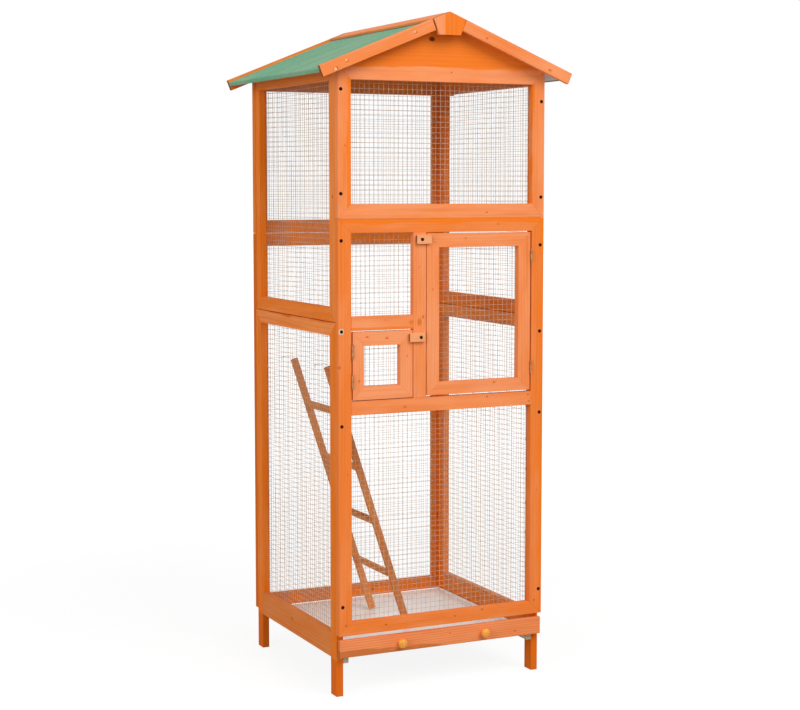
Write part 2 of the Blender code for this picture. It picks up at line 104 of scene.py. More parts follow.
# Doors and their windows: left, right, bottom, top
DOORS = {
    "large_door": ((-0.046, 0.2424, 0.7265, 1.121), (-0.012, 0.2084, 0.758, 1.087)),
    "small_door": ((-0.2424, -0.084, 0.724, 0.888), (-0.2133, -0.1176, 0.7562, 0.854)),
}

# Tray: front board, knobs, runners and sheet-metal pan
TRAY_FRONT = (-0.278, 0.278, 0.099, 0.142)
TRAY_FRONT_THICK = 0.012
KNOB_PLACE = (0.115, 0.1205)
RUNNER_HALF_WIDTH = 0.007
RUNNER_HEIGHTS = (0.0807, 0.0987)
PAN_HALF_WIDTH = 0.259
PAN_FLOOR = 0.101
PAN_THICK = 0.0010
PAN_BEND = 0.0012
PAN_HEM = 0.107
PAN_HEM_THICK = 0.0015
PAN_REACH = (-0.2707, 0.262)

# Turn buttons: body, pivot, and reach to its left and right
BUTTONS = {
    "large_door_button": ("large_button", (-0.062, 1.107), 0.014, 0.026),
    "small_door_button": ("small_button", (-0.065, 0.870), 0.030, 0.012),
}
BUTTON_THICK = 0.008
BUTTON_HALF_HEIGHT = 0.011
BUTTON_CUT = 0.0022

# Ladder: foot in X and Z, rails in Y, rungs in Y and up along the rails
LADDER_LEAN = radians(18)
LADDER_FOOT = (-0.017, 0.1013)
LADDER_LENGTH = 0.719
RAILS = {"front": -0.100, "rear": 0.120}
RAIL_DEPTH = 0.018
RAIL_WIDTH = 0.009
RUNG_COUNT = 4
RUNG_FIRST = 0.1495
RUNG_SPACING = 0.1482
RUNG_REACH = (-0.0952, 0.1152)
RUNG_HEIGHT = 0.018
RUNG_THICK = 0.009

# Roof
SLOPE = radians(22)
BARGE_WIDTH = 0.028
BARGE_THICK = 0.0115
RIDGE_HALF = 0.044
BLOCK_DEPTH = 0.041
FELT_REVEAL = 0.006
FELT_THICK = 0.0024
FELT_SKIRT = 0.0162
FELT_STEPS_DOWN = 28
FELT_STEPS_ALONG = 40
PANEL_THICK = 0.009
FRONT_LEFT_BARGE_GAP = 0.004
ROOF_END = ROOF_HALF_WIDTH / cos(SLOPE)
SHOULDER = RIDGE_HALF / cos(SLOPE)
PANEL_HALF_DEPTH = ROOF_HALF_DEPTH - BARGE_THICK - GAP

# Welded mesh: pitch, wires, how far they wander, and staples
MESH_PITCH = 0.0127
WIRE_RADIUS = 0.00043
WIRE_SIDES = 5
WIRE_STEP = 0.040
WIRE_INSET = 0.0006
SLACK = 0.0006
LEFT_LOWER_SLACK = 0.0022
STAPLE_SPACING = 0.085
STAPLE_MARGIN = 0.005
STAPLE_RADIUS = 0.00045
STAPLE_HALF_WIDTH = 0.0055

# Screws down both edges of the front and back: distance from the middle, heights on each side
SCREW_X = 0.2715
SCREW_HEIGHTS = {
    -1: (1.462, 1.217, 1.106, 0.890, 0.663, 0.224),
    1: (1.444, 1.208, 1.089, 0.873, 0.668, 0.215),
}

# Top of the ladder's hooks, over a wire of the left lower mesh, in X and Z
HOOK_TOP = (-0.26095, 0.7960)
HOOK_RADIUS = 0.00055

SIDES = (("left", -1), ("right", 1))

# Each mesh with its body and the direction from the timber into the cage
MESH_SIDES = {
    "front_upper_mesh": ("cage", (0, 1, 0)),
    "front_window_mesh": ("cage", (0, 1, 0)),
    "front_lower_mesh": ("cage", (0, 1, 0)),
    "back_upper_mesh": ("cage", (0, -1, 0)),
    "back_lower_mesh": ("cage", (0, -1, 0)),
    "left_upper_mesh": ("cage", (1, 0, 0)),
    "left_lower_mesh": ("cage", (1, 0, 0)),
    "right_upper_mesh": ("cage", (-1, 0, 0)),
    "right_lower_mesh": ("cage", (-1, 0, 0)),
    "large_door_mesh": ("large_door", (0, 1, 0)),
    "small_door_mesh": ("small_door", (0, 1, 0)),
}

# Edges of the boards are broken by this much
EDGE = 0.0006

# Mean width of an annual ring
RING_PITCH = 0.0055

# Panel coordinates (across, up, depth) to X, Y, Z, and those of a board that runs along Y
FRONT = Matrix(((1, 0, 0, 0), (0, 0, 1, 0), (0, 1, 0, 0), (0, 0, 0, 1)))
SIDE = Matrix(((0, 0, 1, 0), (1, 0, 0, 0), (0, 1, 0, 0), (0, 0, 0, 1)))
ALONG_Y = Matrix(((0, 1, 0, 0), (1, 0, 0, 0), (0, 0, 1, 0), (0, 0, 0, 1)))

# A board has up to this many knots; one that it lacks lies far away
KNOT_NAMES = ("knot_1", "knot_2", "knot_3", "knot_4")
FAR_KNOT = (9.0, 9.0, 0.0)

# Heartwood that begins beyond the board
NO_HEART = (0, 1, 9)


def screen(red, green, blue):
    """Linear colour from a screen colour of 0 to 255."""
    channels = [channel / 255 for channel in (red, green, blue)]
    linear = [c / 12.92 if c <= 0.04045 else ((c + 0.055) / 1.055) ** 2.4 for c in channels]
    return (*linear, 1.0)


class Nodes:
    """The nodes of a new material, or of the world: adds them and joins them to each other.

    A colour of three numbers is one on screen, from 0 to 255.
    """

    def __init__(self, name, owner=None):
        self.owner = owner or bpy.data.materials.new(name)
        self.owner.use_nodes = True
        self.tree = self.owner.node_tree
        self.shader = self.tree.nodes.get("Principled BSDF")

    def put(self, socket, value):
        if isinstance(value, bpy.types.NodeSocket):
            self.tree.links.new(value, socket)
        elif socket.type == "RGBA" and len(value) == 3:
            socket.default_value = screen(*value)
        else:
            socket.default_value = value

    def add(self, kind, inputs=(), **settings):
        node = self.tree.nodes.new(kind)
        for name, value in settings.items():
            setattr(node, name, value)
        for name, value in dict(inputs).items():
            self.put(node.inputs[name], value)
        return node

    def place(self):
        return self.add("ShaderNodeTexCoord").outputs["Object"]

    def attribute(self, name, output="Fac"):
        return self.add("ShaderNodeAttribute", attribute_name=name).outputs[output]

    def noise(self, vector, scale, detail=2.0, rough=0.5, output="Fac"):
        """Noise at one scale, or at its own scale along each axis."""
        if isinstance(scale, tuple):
            vector, scale = self.scaled(vector, scale), 1.0
        inputs = {"Vector": vector, "Scale": scale, "Detail": detail, "Roughness": rough}
        return self.add("ShaderNodeTexNoise", inputs).outputs[output]

    def math(self, operation, first, second=0.0, clamp=False):
        node = self.add("ShaderNodeMath", {0: first, 1: second}, operation=operation, use_clamp=clamp)
        return node.outputs[0]

    def plus(self, first, second, clamp=False):
        return self.math("ADD", first, second, clamp)

    def times(self, first, second):
        return self.math("MULTIPLY", first, second)

    def vector(self, operation, inputs, output=0):
        return self.add("ShaderNodeVectorMath", inputs, operation=operation).outputs[output]

    def summed(self, first, second):
        return self.vector("ADD", {0: first, 1: second})

    def scaled(self, vector, factors):
        return self.vector("MULTIPLY", {0: vector, 1: factors})

    def resized(self, vector, factor):
        return self.vector("SCALE", {0: vector, "Scale": factor})

    def length(self, vector):
        return self.vector("LENGTH", {0: vector}, "Value")

    def spread(self, value, low, high, start=0.0, end=1.0):
        """Maps a value between two limits to another range, smoothly and clamped."""
        inputs = {"Value": value, 1: low, 2: high, 3: start, 4: end}
        return self.add("ShaderNodeMapRange", inputs, interpolation_type="SMOOTHSTEP").outputs["Result"]

    def mix(self, factor, first, second):
        node = self.add("ShaderNodeMix", data_type="RGBA")
        self.put(node.inputs[0], factor)
        self.put(node.inputs[6], first)
        self.put(node.inputs[7], second)
        return node.outputs[2]

    def bump(self, height, strength, distance):
        inputs = {"Height": height, "Strength": strength, "Distance": distance}
        return self.add("ShaderNodeBump", inputs).outputs["Normal"]

    def set(self, **values):
        """Sets the shader's sockets; an underscore stands for a space in their names."""
        for name, value in values.items():
            self.put(self.shader.inputs[name.replace("_", " ")], value)
        return self.owner


def wood_material(name, light, deep, heartwood, streak, knot, rings=0.16, dark_ends=0.70):
    """Stained softwood, in the grain coordinates that each board carries.

    The colours are thinly and deeply stained sapwood, heartwood, the late bands of the rings and
    streaks, and a knot's core. Rings is the contrast of the late bands, and dark_ends is how much
    darker the end grain is; it also scales the painted shade that some boards carry on their faces.
    """
    n = Nodes(name)
    grain = n.attribute("grain", "Vector")
    stain = n.attribute("stain")
    heart = n.attribute("heart")
    dark = n.attribute("dark")

    # Grain lines part round a knot, which is a dark disc in a halo of deeper stain
    core = halo = 0.0
    for knot_name in KNOT_NAMES:
        offset = n.attribute(knot_name, "Vector")
        strength = n.add("ShaderNodeSeparateXYZ", {"Vector": offset}).outputs["Z"]
        away = n.length(n.scaled(offset, (0.7, 1.0, 0.0)))
        near = n.spread(away, 0.8, 3.6, 1.0, 0.0)
        grain = n.summed(grain, n.resized(n.scaled(offset, (0.0, -0.0014, 0.0)), near))
        disc = n.times(n.spread(away, 0.55, 1.25, 1.0, 0.0), strength)
        glow = n.spread(n.length(n.scaled(offset, (0.35, 0.6, 0.0))), 0.1, 1.3, 1.0, 0.0)
        core = n.math("MAXIMUM", core, disc)
        halo = n.math("MAXIMUM", halo, glow)

    # Annual rings: distance from the pith, which wanders slowly along the board
    wander = n.noise(grain, (1.1, 9.0, 9.0), detail=1.0, output="Color")
    wander = n.scaled(n.summed(wander, (-0.5, -0.5, -0.5)), (0.0, 0.020, 0.020))
    from_pith = n.length(n.scaled(n.summed(grain, wander), (0.0, 1.0, 1.0)))
    phase = n.math("FRACT", n.times(from_pith, 1 / RING_PITCH))
    late = n.times(n.spread(phase, 0.25, 0.85), n.spread(phase, 0.88, 1.0, 1.0, 0.0))

    # Broad blotches of stain, long streaks and fine fibres
    blotch = n.noise(grain, (7.0, 30.0, 30.0), detail=3.0)
    streaks = n.noise(grain, (3.0, 120.0, 120.0), rough=0.55)
    fibres = n.noise(grain, (22.0, 1100.0, 1100.0), rough=0.6)
    ragged = n.noise(grain, (10.0, 60.0, 60.0))
    edge = n.plus(heart, n.times(n.math("SUBTRACT", ragged, 0.5), 0.024))
    hearted = n.spread(edge, -0.0025, 0.0025)

    soaked = n.plus(stain, n.times(n.math("SUBTRACT", blotch, 0.5), 1.5), clamp=True)
    colour = n.mix(n.math("MAXIMUM", soaked, halo), light, deep)
    colour = n.mix(n.times(hearted, 0.9), colour, heartwood)
    colour = n.mix(n.times(late, rings), colour, streak)
    colour = n.mix(n.times(n.spread(streaks, 0.52, 0.78), 0.30), colour, streak)
    shade = n.plus(n.times(fibres, 0.16), 0.92)
    # Darker end grain, and painted shade on the faces of some boards
    shade = n.times(shade, n.math("SUBTRACT", 1.0, n.times(dark, dark_ends)))
    colour = n.mix(core, n.resized(colour, shade), knot)

    relief = n.plus(n.times(fibres, 0.7), n.times(late, 0.5))
    polish = n.plus(n.times(fibres, 0.16), 0.56)
    normal = n.bump(relief, 0.35, 0.0003)
    return n.set(Base_Color=colour, Roughness=polish, Normal=normal, Specular_IOR_Level=0.07)


def felt_material():
    """Green mineral felt: coloured granules on soft, slightly faded streaks down the slope."""
    n = Nodes("roof_felt")
    place = n.place()
    faded = n.noise(place, (5.0, 11.0, 5.0), detail=3.0, rough=0.55)
    drift = n.noise(place, (60.0, 38.0, 60.0))
    grit = n.add("ShaderNodeTexVoronoi", {"Vector": place, "Scale": 720.0})
    grains = n.noise(place, 1500.0, detail=1.0)
    each = n.add("ShaderNodeSeparateColor", {"Color": grit.outputs["Color"]}).outputs["Red"]
    colour = n.mix(n.spread(faded, 0.35, 0.68), (104, 170, 131), (136, 174, 140))
    colour = n.mix(n.times(n.spread(drift, 0.45, 0.75), 0.25), colour, (96, 154, 122))
    colour = n.mix(n.times(n.spread(each, 0.80, 0.95), 0.40), colour, (178, 202, 184))
    colour = n.mix(n.times(n.spread(each, 0.22, 0.05), 0.50), colour, (64, 122, 92))
    height = n.plus(n.times(grit.outputs["Distance"], -1.0), grains)
    return n.set(Base_Color=colour, Roughness=0.93, Normal=n.bump(height, 0.55, 0.0006))


def metal_material(name, colour, dark, metallic, rough, specular=0.5):
    """Zinc, steel or brass, mottled, with an uneven polish and faint scratches."""
    n = Nodes(name)
    place = n.place()
    cloud = n.noise(place, 90.0, detail=3.0, rough=0.6)
    fine = n.noise(place, (900.0, 900.0, 120.0))
    tint = n.mix(n.spread(cloud, 0.35, 0.70), colour, dark)
    polish = n.plus(n.times(fine, 0.25), rough - 0.12)
    return n.set(Base_Color=tint, Metallic=metallic, Roughness=polish, Specular_IOR_Level=specular,
                 Normal=n.bump(fine, 0.15, 0.0001))


def sheet_material():
    """Pale painted sheet metal with a soft unevenness and fine scratches."""
    n = Nodes("tray_sheet")
    place = n.place()
    cloud = n.noise(place, 14.0, detail=3.0)
    scratch = n.noise(place, (900.0, 14.0, 60.0), detail=1.0)
    tint = n.mix(n.spread(cloud, 0.35, 0.7), (252, 250, 247), (244, 241, 236))
    tint = n.mix(n.times(n.spread(scratch, 0.66, 0.78), 0.35), tint, (205, 203, 198))
    polish = n.plus(n.times(scratch, 0.2), 0.32)
    return n.set(Base_Color=tint, Roughness=polish, Normal=n.bump(scratch, 0.1, 0.0001))


def filler_material():
    """Pale, dry wood filler with small pits."""
    n = Nodes("wood_filler")
    place = n.place()
    cloud = n.noise(place, 420.0)
    pits = n.noise(place, 1900.0, detail=1.0)
    tint = n.mix(n.spread(cloud, 0.35, 0.7), (255, 198, 150), (244, 170, 116))
    return n.set(Base_Color=tint, Roughness=0.8, Specular_IOR_Level=0.1, Normal=n.bump(pits, 0.3, 0.0002))


def varnish_material():
    """Yellow varnished beech with short flecks."""
    n = Nodes("knob_varnish")
    place = n.place()
    fleck = n.noise(place, (700.0, 160.0, 700.0))
    cloud = n.noise(place, 120.0)
    tint = n.mix(n.spread(cloud, 0.3, 0.7), (250, 172, 44), (236, 144, 24))
    tint = n.mix(n.times(n.spread(fleck, 0.58, 0.75), 0.5), tint, (190, 108, 24))
    return n.set(Base_Color=tint, Roughness=0.34, Coat_Weight=0.3, Coat_Roughness=0.15,
                 Normal=n.bump(fleck, 0.12, 0.0001))


def mean_point(points):
    return [sum(values) / len(values) for values in zip(*points)]


def prism(outline, depth, place, edge):
    """An outline drawn out between two depths, with its edges broken."""
    work = bmesh.new()
    back, front = [[work.verts.new((a, b, c)) for a, b in outline] for c in depth]
    work.faces.new(back)
    work.faces.new(front[::-1])
    count = len(outline)
    for index in range(count):
        after = (index + 1) % count
        work.faces.new((back[index], front[index], front[after], back[after]))
    if edge:
        bmesh.ops.bevel(work, geom=list(work.edges), offset=edge, segments=2, profile=0.5,
                        affect="EDGES", clamp_overlap=True)
    work.transform(place)
    bmesh.ops.recalc_face_normals(work, faces=work.faces)
    return work


class Piece:
    """A visible piece under construction, with the grain of every board in it."""

    def __init__(self, name, material, replaces=(), stain=0.4, body="cage", slot="wood"):
        self.name = name
        self.material = material
        self.replaces = replaces
        self.stain = stain
        self.body = body
        self.slot = slot
        self.luck = random.Random(name)
        self.points = []
        self.faces = []
        self.vectors = {name: [] for name in ("grain", *KNOT_NAMES)}
        self.values = {"stain": [], "heart": [], "dark": []}

    def board(self, outline, depth, place=FRONT, along=(0, 1), knots=(), edge=EDGE, heart=None,
              stain=None, painted_shade=0.0):
        """A board from its outline and its two depths, with its fibres running along a direction.

        Knots are (across, up, radius, strength) and the heartwood is (across, up, limit): it begins
        where across * x + up * y passes the limit. Both use the outline's coordinates. The last
        argument is painted shade: how far the board's faces are darkened towards its end grain.
        """
        middle = Vector((*mean_point(outline), sum(depth) / 2))
        work = prism(outline, depth, place, edge)
        self.take(work, place, along, middle, knots, heart, stain, painted_shade)

    def strip(self, section, reach):
        """A long board from its cross-section in X and Z, with its fibres along Y."""
        work = prism(section, reach, FRONT, EDGE)
        self.take(work, ALONG_Y, (1, 0), Vector((0, *mean_point(section))))

    def take(self, work, place, along, middle, knots=(), heart=None, stain=None, painted_shade=0.0):
        """Adds a finished shape and gives its vertices their grain coordinates."""
        along = Vector((*along, 0)).normalized()
        across = Vector((-along.y, along.x, 0))
        back = place.inverted()
        start = len(self.points)
        pith_angle = self.luck.uniform(0, 2 * pi)
        pith_away = self.luck.uniform(0.030, 0.110)
        shift = Vector((self.luck.uniform(0, 9), pith_away * cos(pith_angle),
                        pith_away * sin(pith_angle)))
        stain = (self.stain if stain is None else stain) + self.luck.uniform(-0.12, 0.12)
        if heart is None:
            # One board in five shows heartwood along an edge
            side = self.luck.choice((-1, 1))
            limit = self.luck.uniform(0.006, 0.016) if self.luck.random() < 0.2 else 0.5
            heart = (side * across.x, side * across.y, side * middle.dot(across) + limit)
        work.verts.index_update()
        for vertex in work.verts:
            at = back @ vertex.co
            local = at - middle
            self.points.append(tuple(vertex.co))
            grain = Vector((local.dot(along), local.dot(across), local.z)) + shift
            self.vectors["grain"].append(grain)
            self.values["stain"].append(stain)
            self.values["heart"].append(at.x * heart[0] + at.y * heart[1] - heart[2])
            for slot, name in enumerate(KNOT_NAMES):
                offset = FAR_KNOT
                if slot < len(knots):
                    a, b, radius, strength = knots[slot]
                    away = at - Vector((a, b, 0))
                    offset = (away.dot(along) / radius, away.dot(across) / radius, strength)
                self.vectors[name].append(offset)
        fibre = (place.to_3x3() @ along).normalized()
        for face in work.faces:
            self.faces.append([vertex.index + start for vertex in face.verts])
            # End grain is darker; the other faces take the board's painted shade
            self.values["dark"].append(1.0 if abs(face.normal.dot(fibre)) > 0.8 else painted_shade)
        work.free()

    def finish(self):
        mesh = bpy.data.meshes.new(self.name)
        mesh.from_pydata(self.points, [], self.faces)
        for name, vectors in self.vectors.items():
            attribute = mesh.attributes.new(name, "FLOAT_VECTOR", "POINT")
            attribute.data.foreach_set("vector", [value for vector in vectors for value in vector])
        for name, values in self.values.items():
            domain = "FACE" if name == "dark" else "POINT"
            mesh.attributes.new(name, "FLOAT", domain).data.foreach_set("value", values)
        settle(mesh, self.name, self.body, self.material, self.replaces)


def add_object(name, data):
    item = bpy.data.objects.new(name, data)
    bpy.context.scene.collection.objects.link(item)
    return item


def settle(mesh, name, body, material, replaces=()):
    """Makes the object of a mesh, on its body and in the place of its solids."""
    mesh.materials.append(material)
    item = add_object(name, mesh)
    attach(item, body)
    if replaces:
        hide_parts(*replaces)


def rectangle(left, right, bottom, top):
    return [(left, bottom), (right, bottom), (right, top), (left, top)]


def mitred(piece, outer, inner, depth, place=FRONT, knots=(), sides="LRBT", stains=(), heart=None):
    """A frame of up to four mitred boards: left, right, bottom and top."""
    left, right, bottom, top = outer
    in_left, in_right, in_bottom, in_top = inner
    boards = {
        "L": ([(left, bottom), (in_left, in_bottom), (in_left, in_top), (left, top)], (0, 1)),
        "R": ([(in_right, in_bottom), (right, bottom), (right, top), (in_right, in_top)], (0, 1)),
        "B": ([(left, bottom), (right, bottom), (in_right, in_bottom), (in_left, in_bottom)], (1, 0)),
        "T": ([(in_left, in_top), (in_right, in_top), (right, top), (left, top)], (1, 0)),
    }
    for side in sides:
        outline, along = boards[side]
        their_knots = dict(knots).get(side, ())
        piece.board(outline, depth, place, along, their_knots, heart=heart, stain=dict(stains).get(side))


def roof_point(side, along, depth):
    """X and Z on one slope: along it from the ridge, and depth square to it from the top face."""
    x = side * (along * cos(SLOPE) - depth * sin(SLOPE))
    z = HEIGHT - along * sin(SLOPE) - depth * cos(SLOPE)
    return (x, z)


def ridge_point(side, depth):
    """The same where the slope ends at the ridge."""
    along = (GAP / 2 + depth * sin(SLOPE)) / cos(SLOPE)
    return roof_point(side, along, depth)


def roof_underside(x):
    depth = FELT_REVEAL + PANEL_THICK + GAP
    return HEIGHT - depth / cos(SLOPE) - abs(x) * tan(SLOPE)


def upper_end_frame(piece, seam, depth, knots=(), heart=None):
    """Two stiles, a bottom rail and the gable board, mitred together."""
    knots = dict(knots)
    eave = roof_underside(OUT_X)
    inner = (-EDGE_X, EDGE_X, seam + MEMBER, GABLE_BOTTOM)
    mitred(piece, (-OUT_X, OUT_X, seam, eave), inner, depth, knots=knots, sides="LRB")
    gable = [(-EDGE_X, GABLE_BOTTOM), (EDGE_X, GABLE_BOTTOM), (OUT_X, eave),
             (0, roof_underside(0)), (-OUT_X, eave)]
    piece.board(gable, depth, along=(1, 0), knots=knots.get("G", ()), heart=heart, stain=0.35)


def build_end_frames(wood, shaded_back_wood):
    front = (-OUT_Y, -IN_Y)
    back = (IN_Y, OUT_Y)
    piece = Piece("front_upper_boards", wood, ["front_upper_frame"], 0.35)
    knots = {
        "G": [(-0.0331, 1.5863, 0.0060, 0.95), (0.020, 1.5085, 0.0016, 0.5)],
        "L": [(-0.262, 1.330, 0.0020, 0.3)],
        "B": [(0.118, 1.171, 0.0022, 0.35)],
    }
    upper_end_frame(piece, FRONT_SEAM + FRONT_SEAM_GAP, front, knots, (0, 1, 1.5175))
    piece.finish()

    piece = Piece("front_door_frame_boards", wood, ["front_door_frame"], 0.5)
    top = FRONT_SEAM - FRONT_SEAM_GAP
    outer = (-OUT_X, OUT_X, FRONT_BOTTOM, top)
    inner = (-EDGE_X, EDGE_X, FRONT_LOWER_WINDOW[0], FRONT_SEAM - MEMBER)
    knots = {
        "L": [(-0.2770, 0.8044, 0.0032, 0.45), (-0.2625, 0.1780, 0.0022, 0.6), (-0.256, 0.545, 0.0020, 0.25)],
        "R": [(0.2597, 0.1870, 0.0024, 0.5), (0.266, 0.470, 0.0018, 0.3)],
        "B": [(-0.1560, 0.1700, 0.0024, 0.55), (0.0335, 0.1702, 0.0020, 0.5), (0.1096, 0.1790, 0.0022, 0.5)],
        "T": [(0.150, 1.142, 0.0022, 0.25)],
    }
    stains = {"L": 0.88, "R": 0.85, "B": 0.75, "T": 0.80}
    mitred(piece, outer, inner, front, knots=knots, stains=stains)
    sill_knots = [(-0.1047, 0.7014, 0.0030, 0.25), (0.1211, 0.7150, 0.0022, 0.45),
                  (0.2380, 0.7140, 0.0024, 0.40), (0.2400, 0.6975, 0.0024, 0.40)]
    piece.board(rectangle(-EDGE_X, EDGE_X, FRONT_LOWER_WINDOW[1], SILL), front, along=(1, 0),
                knots=sill_knots, stain=0.40)
    piece.board(rectangle(-EDGE_X, POST[0], SMALL_OPENING_TOP, SMALL_WINDOW_BOTTOM), front, along=(1, 0),
                knots=[(-0.0860, 0.9068, 0.0060, 0.12), (-0.1560, 0.9150, 0.0020, 0.15)], stain=0.35)
    piece.board(rectangle(*POST, SILL, FRONT_SEAM - MEMBER), front, stain=0.35,
                knots=[(-0.0660, 0.9068, 0.0060, 0.20), (-0.0560, 0.9190, 0.0030, 0.30),
                       (-0.0660, 1.0400, 0.0018, 0.20)])
    piece.finish()

    piece = Piece("back_upper_boards", shaded_back_wood, ["back_upper_frame"], 0.5)
    upper_end_frame(piece, BACK_SEAM + BACK_SEAM_GAP, back, {"G": [(0.090, 1.545, 0.0050, 0.8)]})
    piece.finish()

    piece = Piece("back_lower_boards", shaded_back_wood, ["back_lower_frame"], 0.6)
    top = BACK_SEAM - BACK_SEAM_GAP
    outer = (-OUT_X, OUT_X, BACK_BOTTOM, top)
    inner = (-EDGE_X, EDGE_X, BACK_LOWER_WINDOW_BOTTOM, BACK_SEAM - MEMBER)
    knots = {
        "L": [(-0.265, 0.520, 0.0040, 0.7)],
        "R": [(0.262, 0.310, 0.0045, 0.7), (0.266, 0.850, 0.0030, 0.5)],
        "B": [(0.060, 0.119, 0.0035, 0.6)],
    }
    mitred(piece, outer, inner, back, knots=knots)
    piece.finish()


def build_side_frames(wood):
    """The left and right panels; the lower stiles run down as legs, with the rails between them."""
    for side, sign in SIDES:
        depth = tuple(sorted((sign * OUT_X, sign * IN_X)))
        piece = Piece(f"{side}_upper_boards", wood, [f"{side}_upper_frame"], 0.5)
        outer = (-SIDE_Y, SIDE_Y, SIDE_SEAM + SIDE_SEAM_GAP, roof_underside(OUT_X))
        inner = (-EDGE_Y, EDGE_Y, SIDE_SEAM + MEMBER, GABLE_BOTTOM)
        mitred(piece, outer, inner, depth, SIDE, {"L": [(-0.250, 1.210, 0.0030, 0.5)]},
               stains={"R": 1.0, "L": 0.60, "B": 0.85})
        piece.finish()

        piece = Piece(f"{side}_lower_boards", wood, [f"{side}_lower_frame"], 0.5)
        top = SIDE_SEAM - SIDE_SEAM_GAP
        inner_top = SIDE_SEAM - MEMBER
        legs = (
            [(-SIDE_Y, 0), (-EDGE_Y, 0), (-EDGE_Y, inner_top), (-SIDE_Y, top)],
            [(EDGE_Y, 0), (SIDE_Y, 0), (SIDE_Y, top), (EDGE_Y, inner_top)],
        )
        for outline in legs:
            piece.board(outline, depth, SIDE, heart=(0, -1, -SIDE_BOTTOM), stain=0.90)
        rail = [(-EDGE_Y, inner_top), (EDGE_Y, inner_top), (SIDE_Y, top), (-SIDE_Y, top)]
        piece.board(rail, depth, SIDE, (1, 0), stain=0.10)
        bottom = rectangle(-EDGE_Y, EDGE_Y, SIDE_BOTTOM, SIDE_LOWER_WINDOW_BOTTOM)
        # The bottom rail's faces are darkened a little: painted shade for the dim light low down by the floor
        piece.board(bottom, depth, SIDE, (1, 0), [(0.020, 0.128, 0.0045, 0.15)], stain=0.45, painted_shade=0.22)
        piece.finish()


def build_doors(wood):
    depth = (-OUT_Y, -IN_Y)
    knots = {
        "large_door": {"B": [(0.1407, 0.7500, 0.0026, 0.35)], "L": [(-0.030, 0.985, 0.0020, 0.2)],
                       "T": [(0.060, 1.108, 0.0018, 0.25)]},
        "small_door": {"T": [(-0.1527, 0.8712, 0.0024, 0.45), (-0.2050, 0.8758, 0.0022, 0.30)],
                       "R": [(-0.0993, 0.8254, 0.0018, 0.25)], "L": [(-0.2260, 0.7700, 0.0022, 0.30)]},
    }
    stains = {"large_door": 0.30, "small_door": 0.12}
    for name, (outer, window) in DOORS.items():
        piece = Piece(f"{name}_boards", wood, [f"{name}_frame"], stains[name], name)
        mitred(piece, outer, window, depth, knots=knots[name], heart=NO_HEART)
        piece.finish()


def build_roof_boards(front_wood, shaded_back_wood):
    """Barge boards, ridge blocks and ridge boards."""
    knots = {
        ("front", "right"): [(0.0994, 1.5900, 0.0026, 0.35), (0.2759, 1.5190, 0.0028, 0.40)],
        ("front", "left"): [(-0.2700, 1.5250, 0.0034, 0.45), (-0.0923, 1.5973, 0.0030, 0.45),
                            (-0.2985, 1.5060, 0.0046, 0.85)],
        ("back", "right"): [(0.1500, 1.5700, 0.0040, 0.60)],
        ("back", "left"): [(-0.2050, 1.5500, 0.0035, 0.60)],
    }
    for place, facing in (("front", -1), ("back", 1)):
        depth = tuple(sorted((facing * ROOF_HALF_DEPTH, facing * (ROOF_HALF_DEPTH - BARGE_THICK))))
        wood = front_wood if place == "front" else shaded_back_wood
        for side, sign in SIDES:
            wide_gap = place == "front" and side == "left"
            start = SHOULDER + (FRONT_LEFT_BARGE_GAP if wide_gap else GAP)
            outline = [roof_point(sign, start, 0), roof_point(sign, start, BARGE_WIDTH),
                       roof_point(sign, ROOF_END, BARGE_WIDTH), roof_point(sign, ROOF_END, 0)]
            name = f"{place}_{side}_barge"
            piece = Piece(f"{name}_wood", wood, [f"{name}_board"], 0.40)
            along = (sign * cos(SLOPE), -sin(SLOPE))
            piece.board(outline, depth, FRONT, along, knots[place, side], edge=0.0009)
            piece.finish()
        piece = Piece(f"{place}_ridge_block_wood", wood, [f"{place}_ridge_block"], 0.30)
        block = [(0, HEIGHT), roof_point(-1, SHOULDER, 0), roof_point(-1, SHOULDER, BLOCK_DEPTH),
                 roof_point(1, SHOULDER, BLOCK_DEPTH), roof_point(1, SHOULDER, 0)]
        piece.board(block, depth, heart=(1, 0, -0.011))
        piece.finish()
    for side, sign in SIDES:
        cap = [ridge_point(sign, 0), ridge_point(sign, FELT_REVEAL - GAP),
               roof_point(sign, SHOULDER, FELT_REVEAL - GAP), roof_point(sign, SHOULDER, 0)]
        piece = Piece(f"{side}_ridge_wood", front_wood, [f"{side}_ridge_board"])
        piece.strip(cap, (-PANEL_HALF_DEPTH, PANEL_HALF_DEPTH))
        piece.finish()


def stitched(rings, sides, start=0):
    """Faces of a skin over a row of rings of points, closed at both ends."""
    faces = [tuple(range(start, start + sides))[::-1]]
    for row in range(rings - 1):
        low = start + row * sides
        for side in range(sides):
            after = (side + 1) % sides
            faces.append((low + side, low + after, low + sides + after, low + sides + side))
    last = start + (rings - 1) * sides
    faces.append(tuple(range(last, last + sides)))
    return faces


def skin(name, points, faces, body, material, replaces=(), smooth=50):
    """An object from points and faces, shaded smooth where it bends by less than an angle."""
    mesh = bpy.data.meshes.new(name)
    mesh.from_pydata(points, [], faces)
    work = bmesh.new()
    work.from_mesh(mesh)
    bmesh.ops.recalc_face_normals(work, faces=work.faces)
    work.to_mesh(mesh)
    work.free()
    mesh.shade_smooth()
    mesh.set_sharp_from_angle(angle=radians(smooth))
    settle(mesh, name, body, material, replaces)


def swept(name, section, reach, steps, body, material, replaces, lift=lambda x, y: 0.0):
    """A closed section in X and Z carried along Y in equal steps, with capped ends."""
    low, high = reach
    stations = [low + (high - low) * step / steps for step in range(steps + 1)]
    points = [(x, y, z + lift(x, y)) for y in stations for x, z in section]
    skin(name, points, stitched(len(stations), len(section)), body, material, replaces)


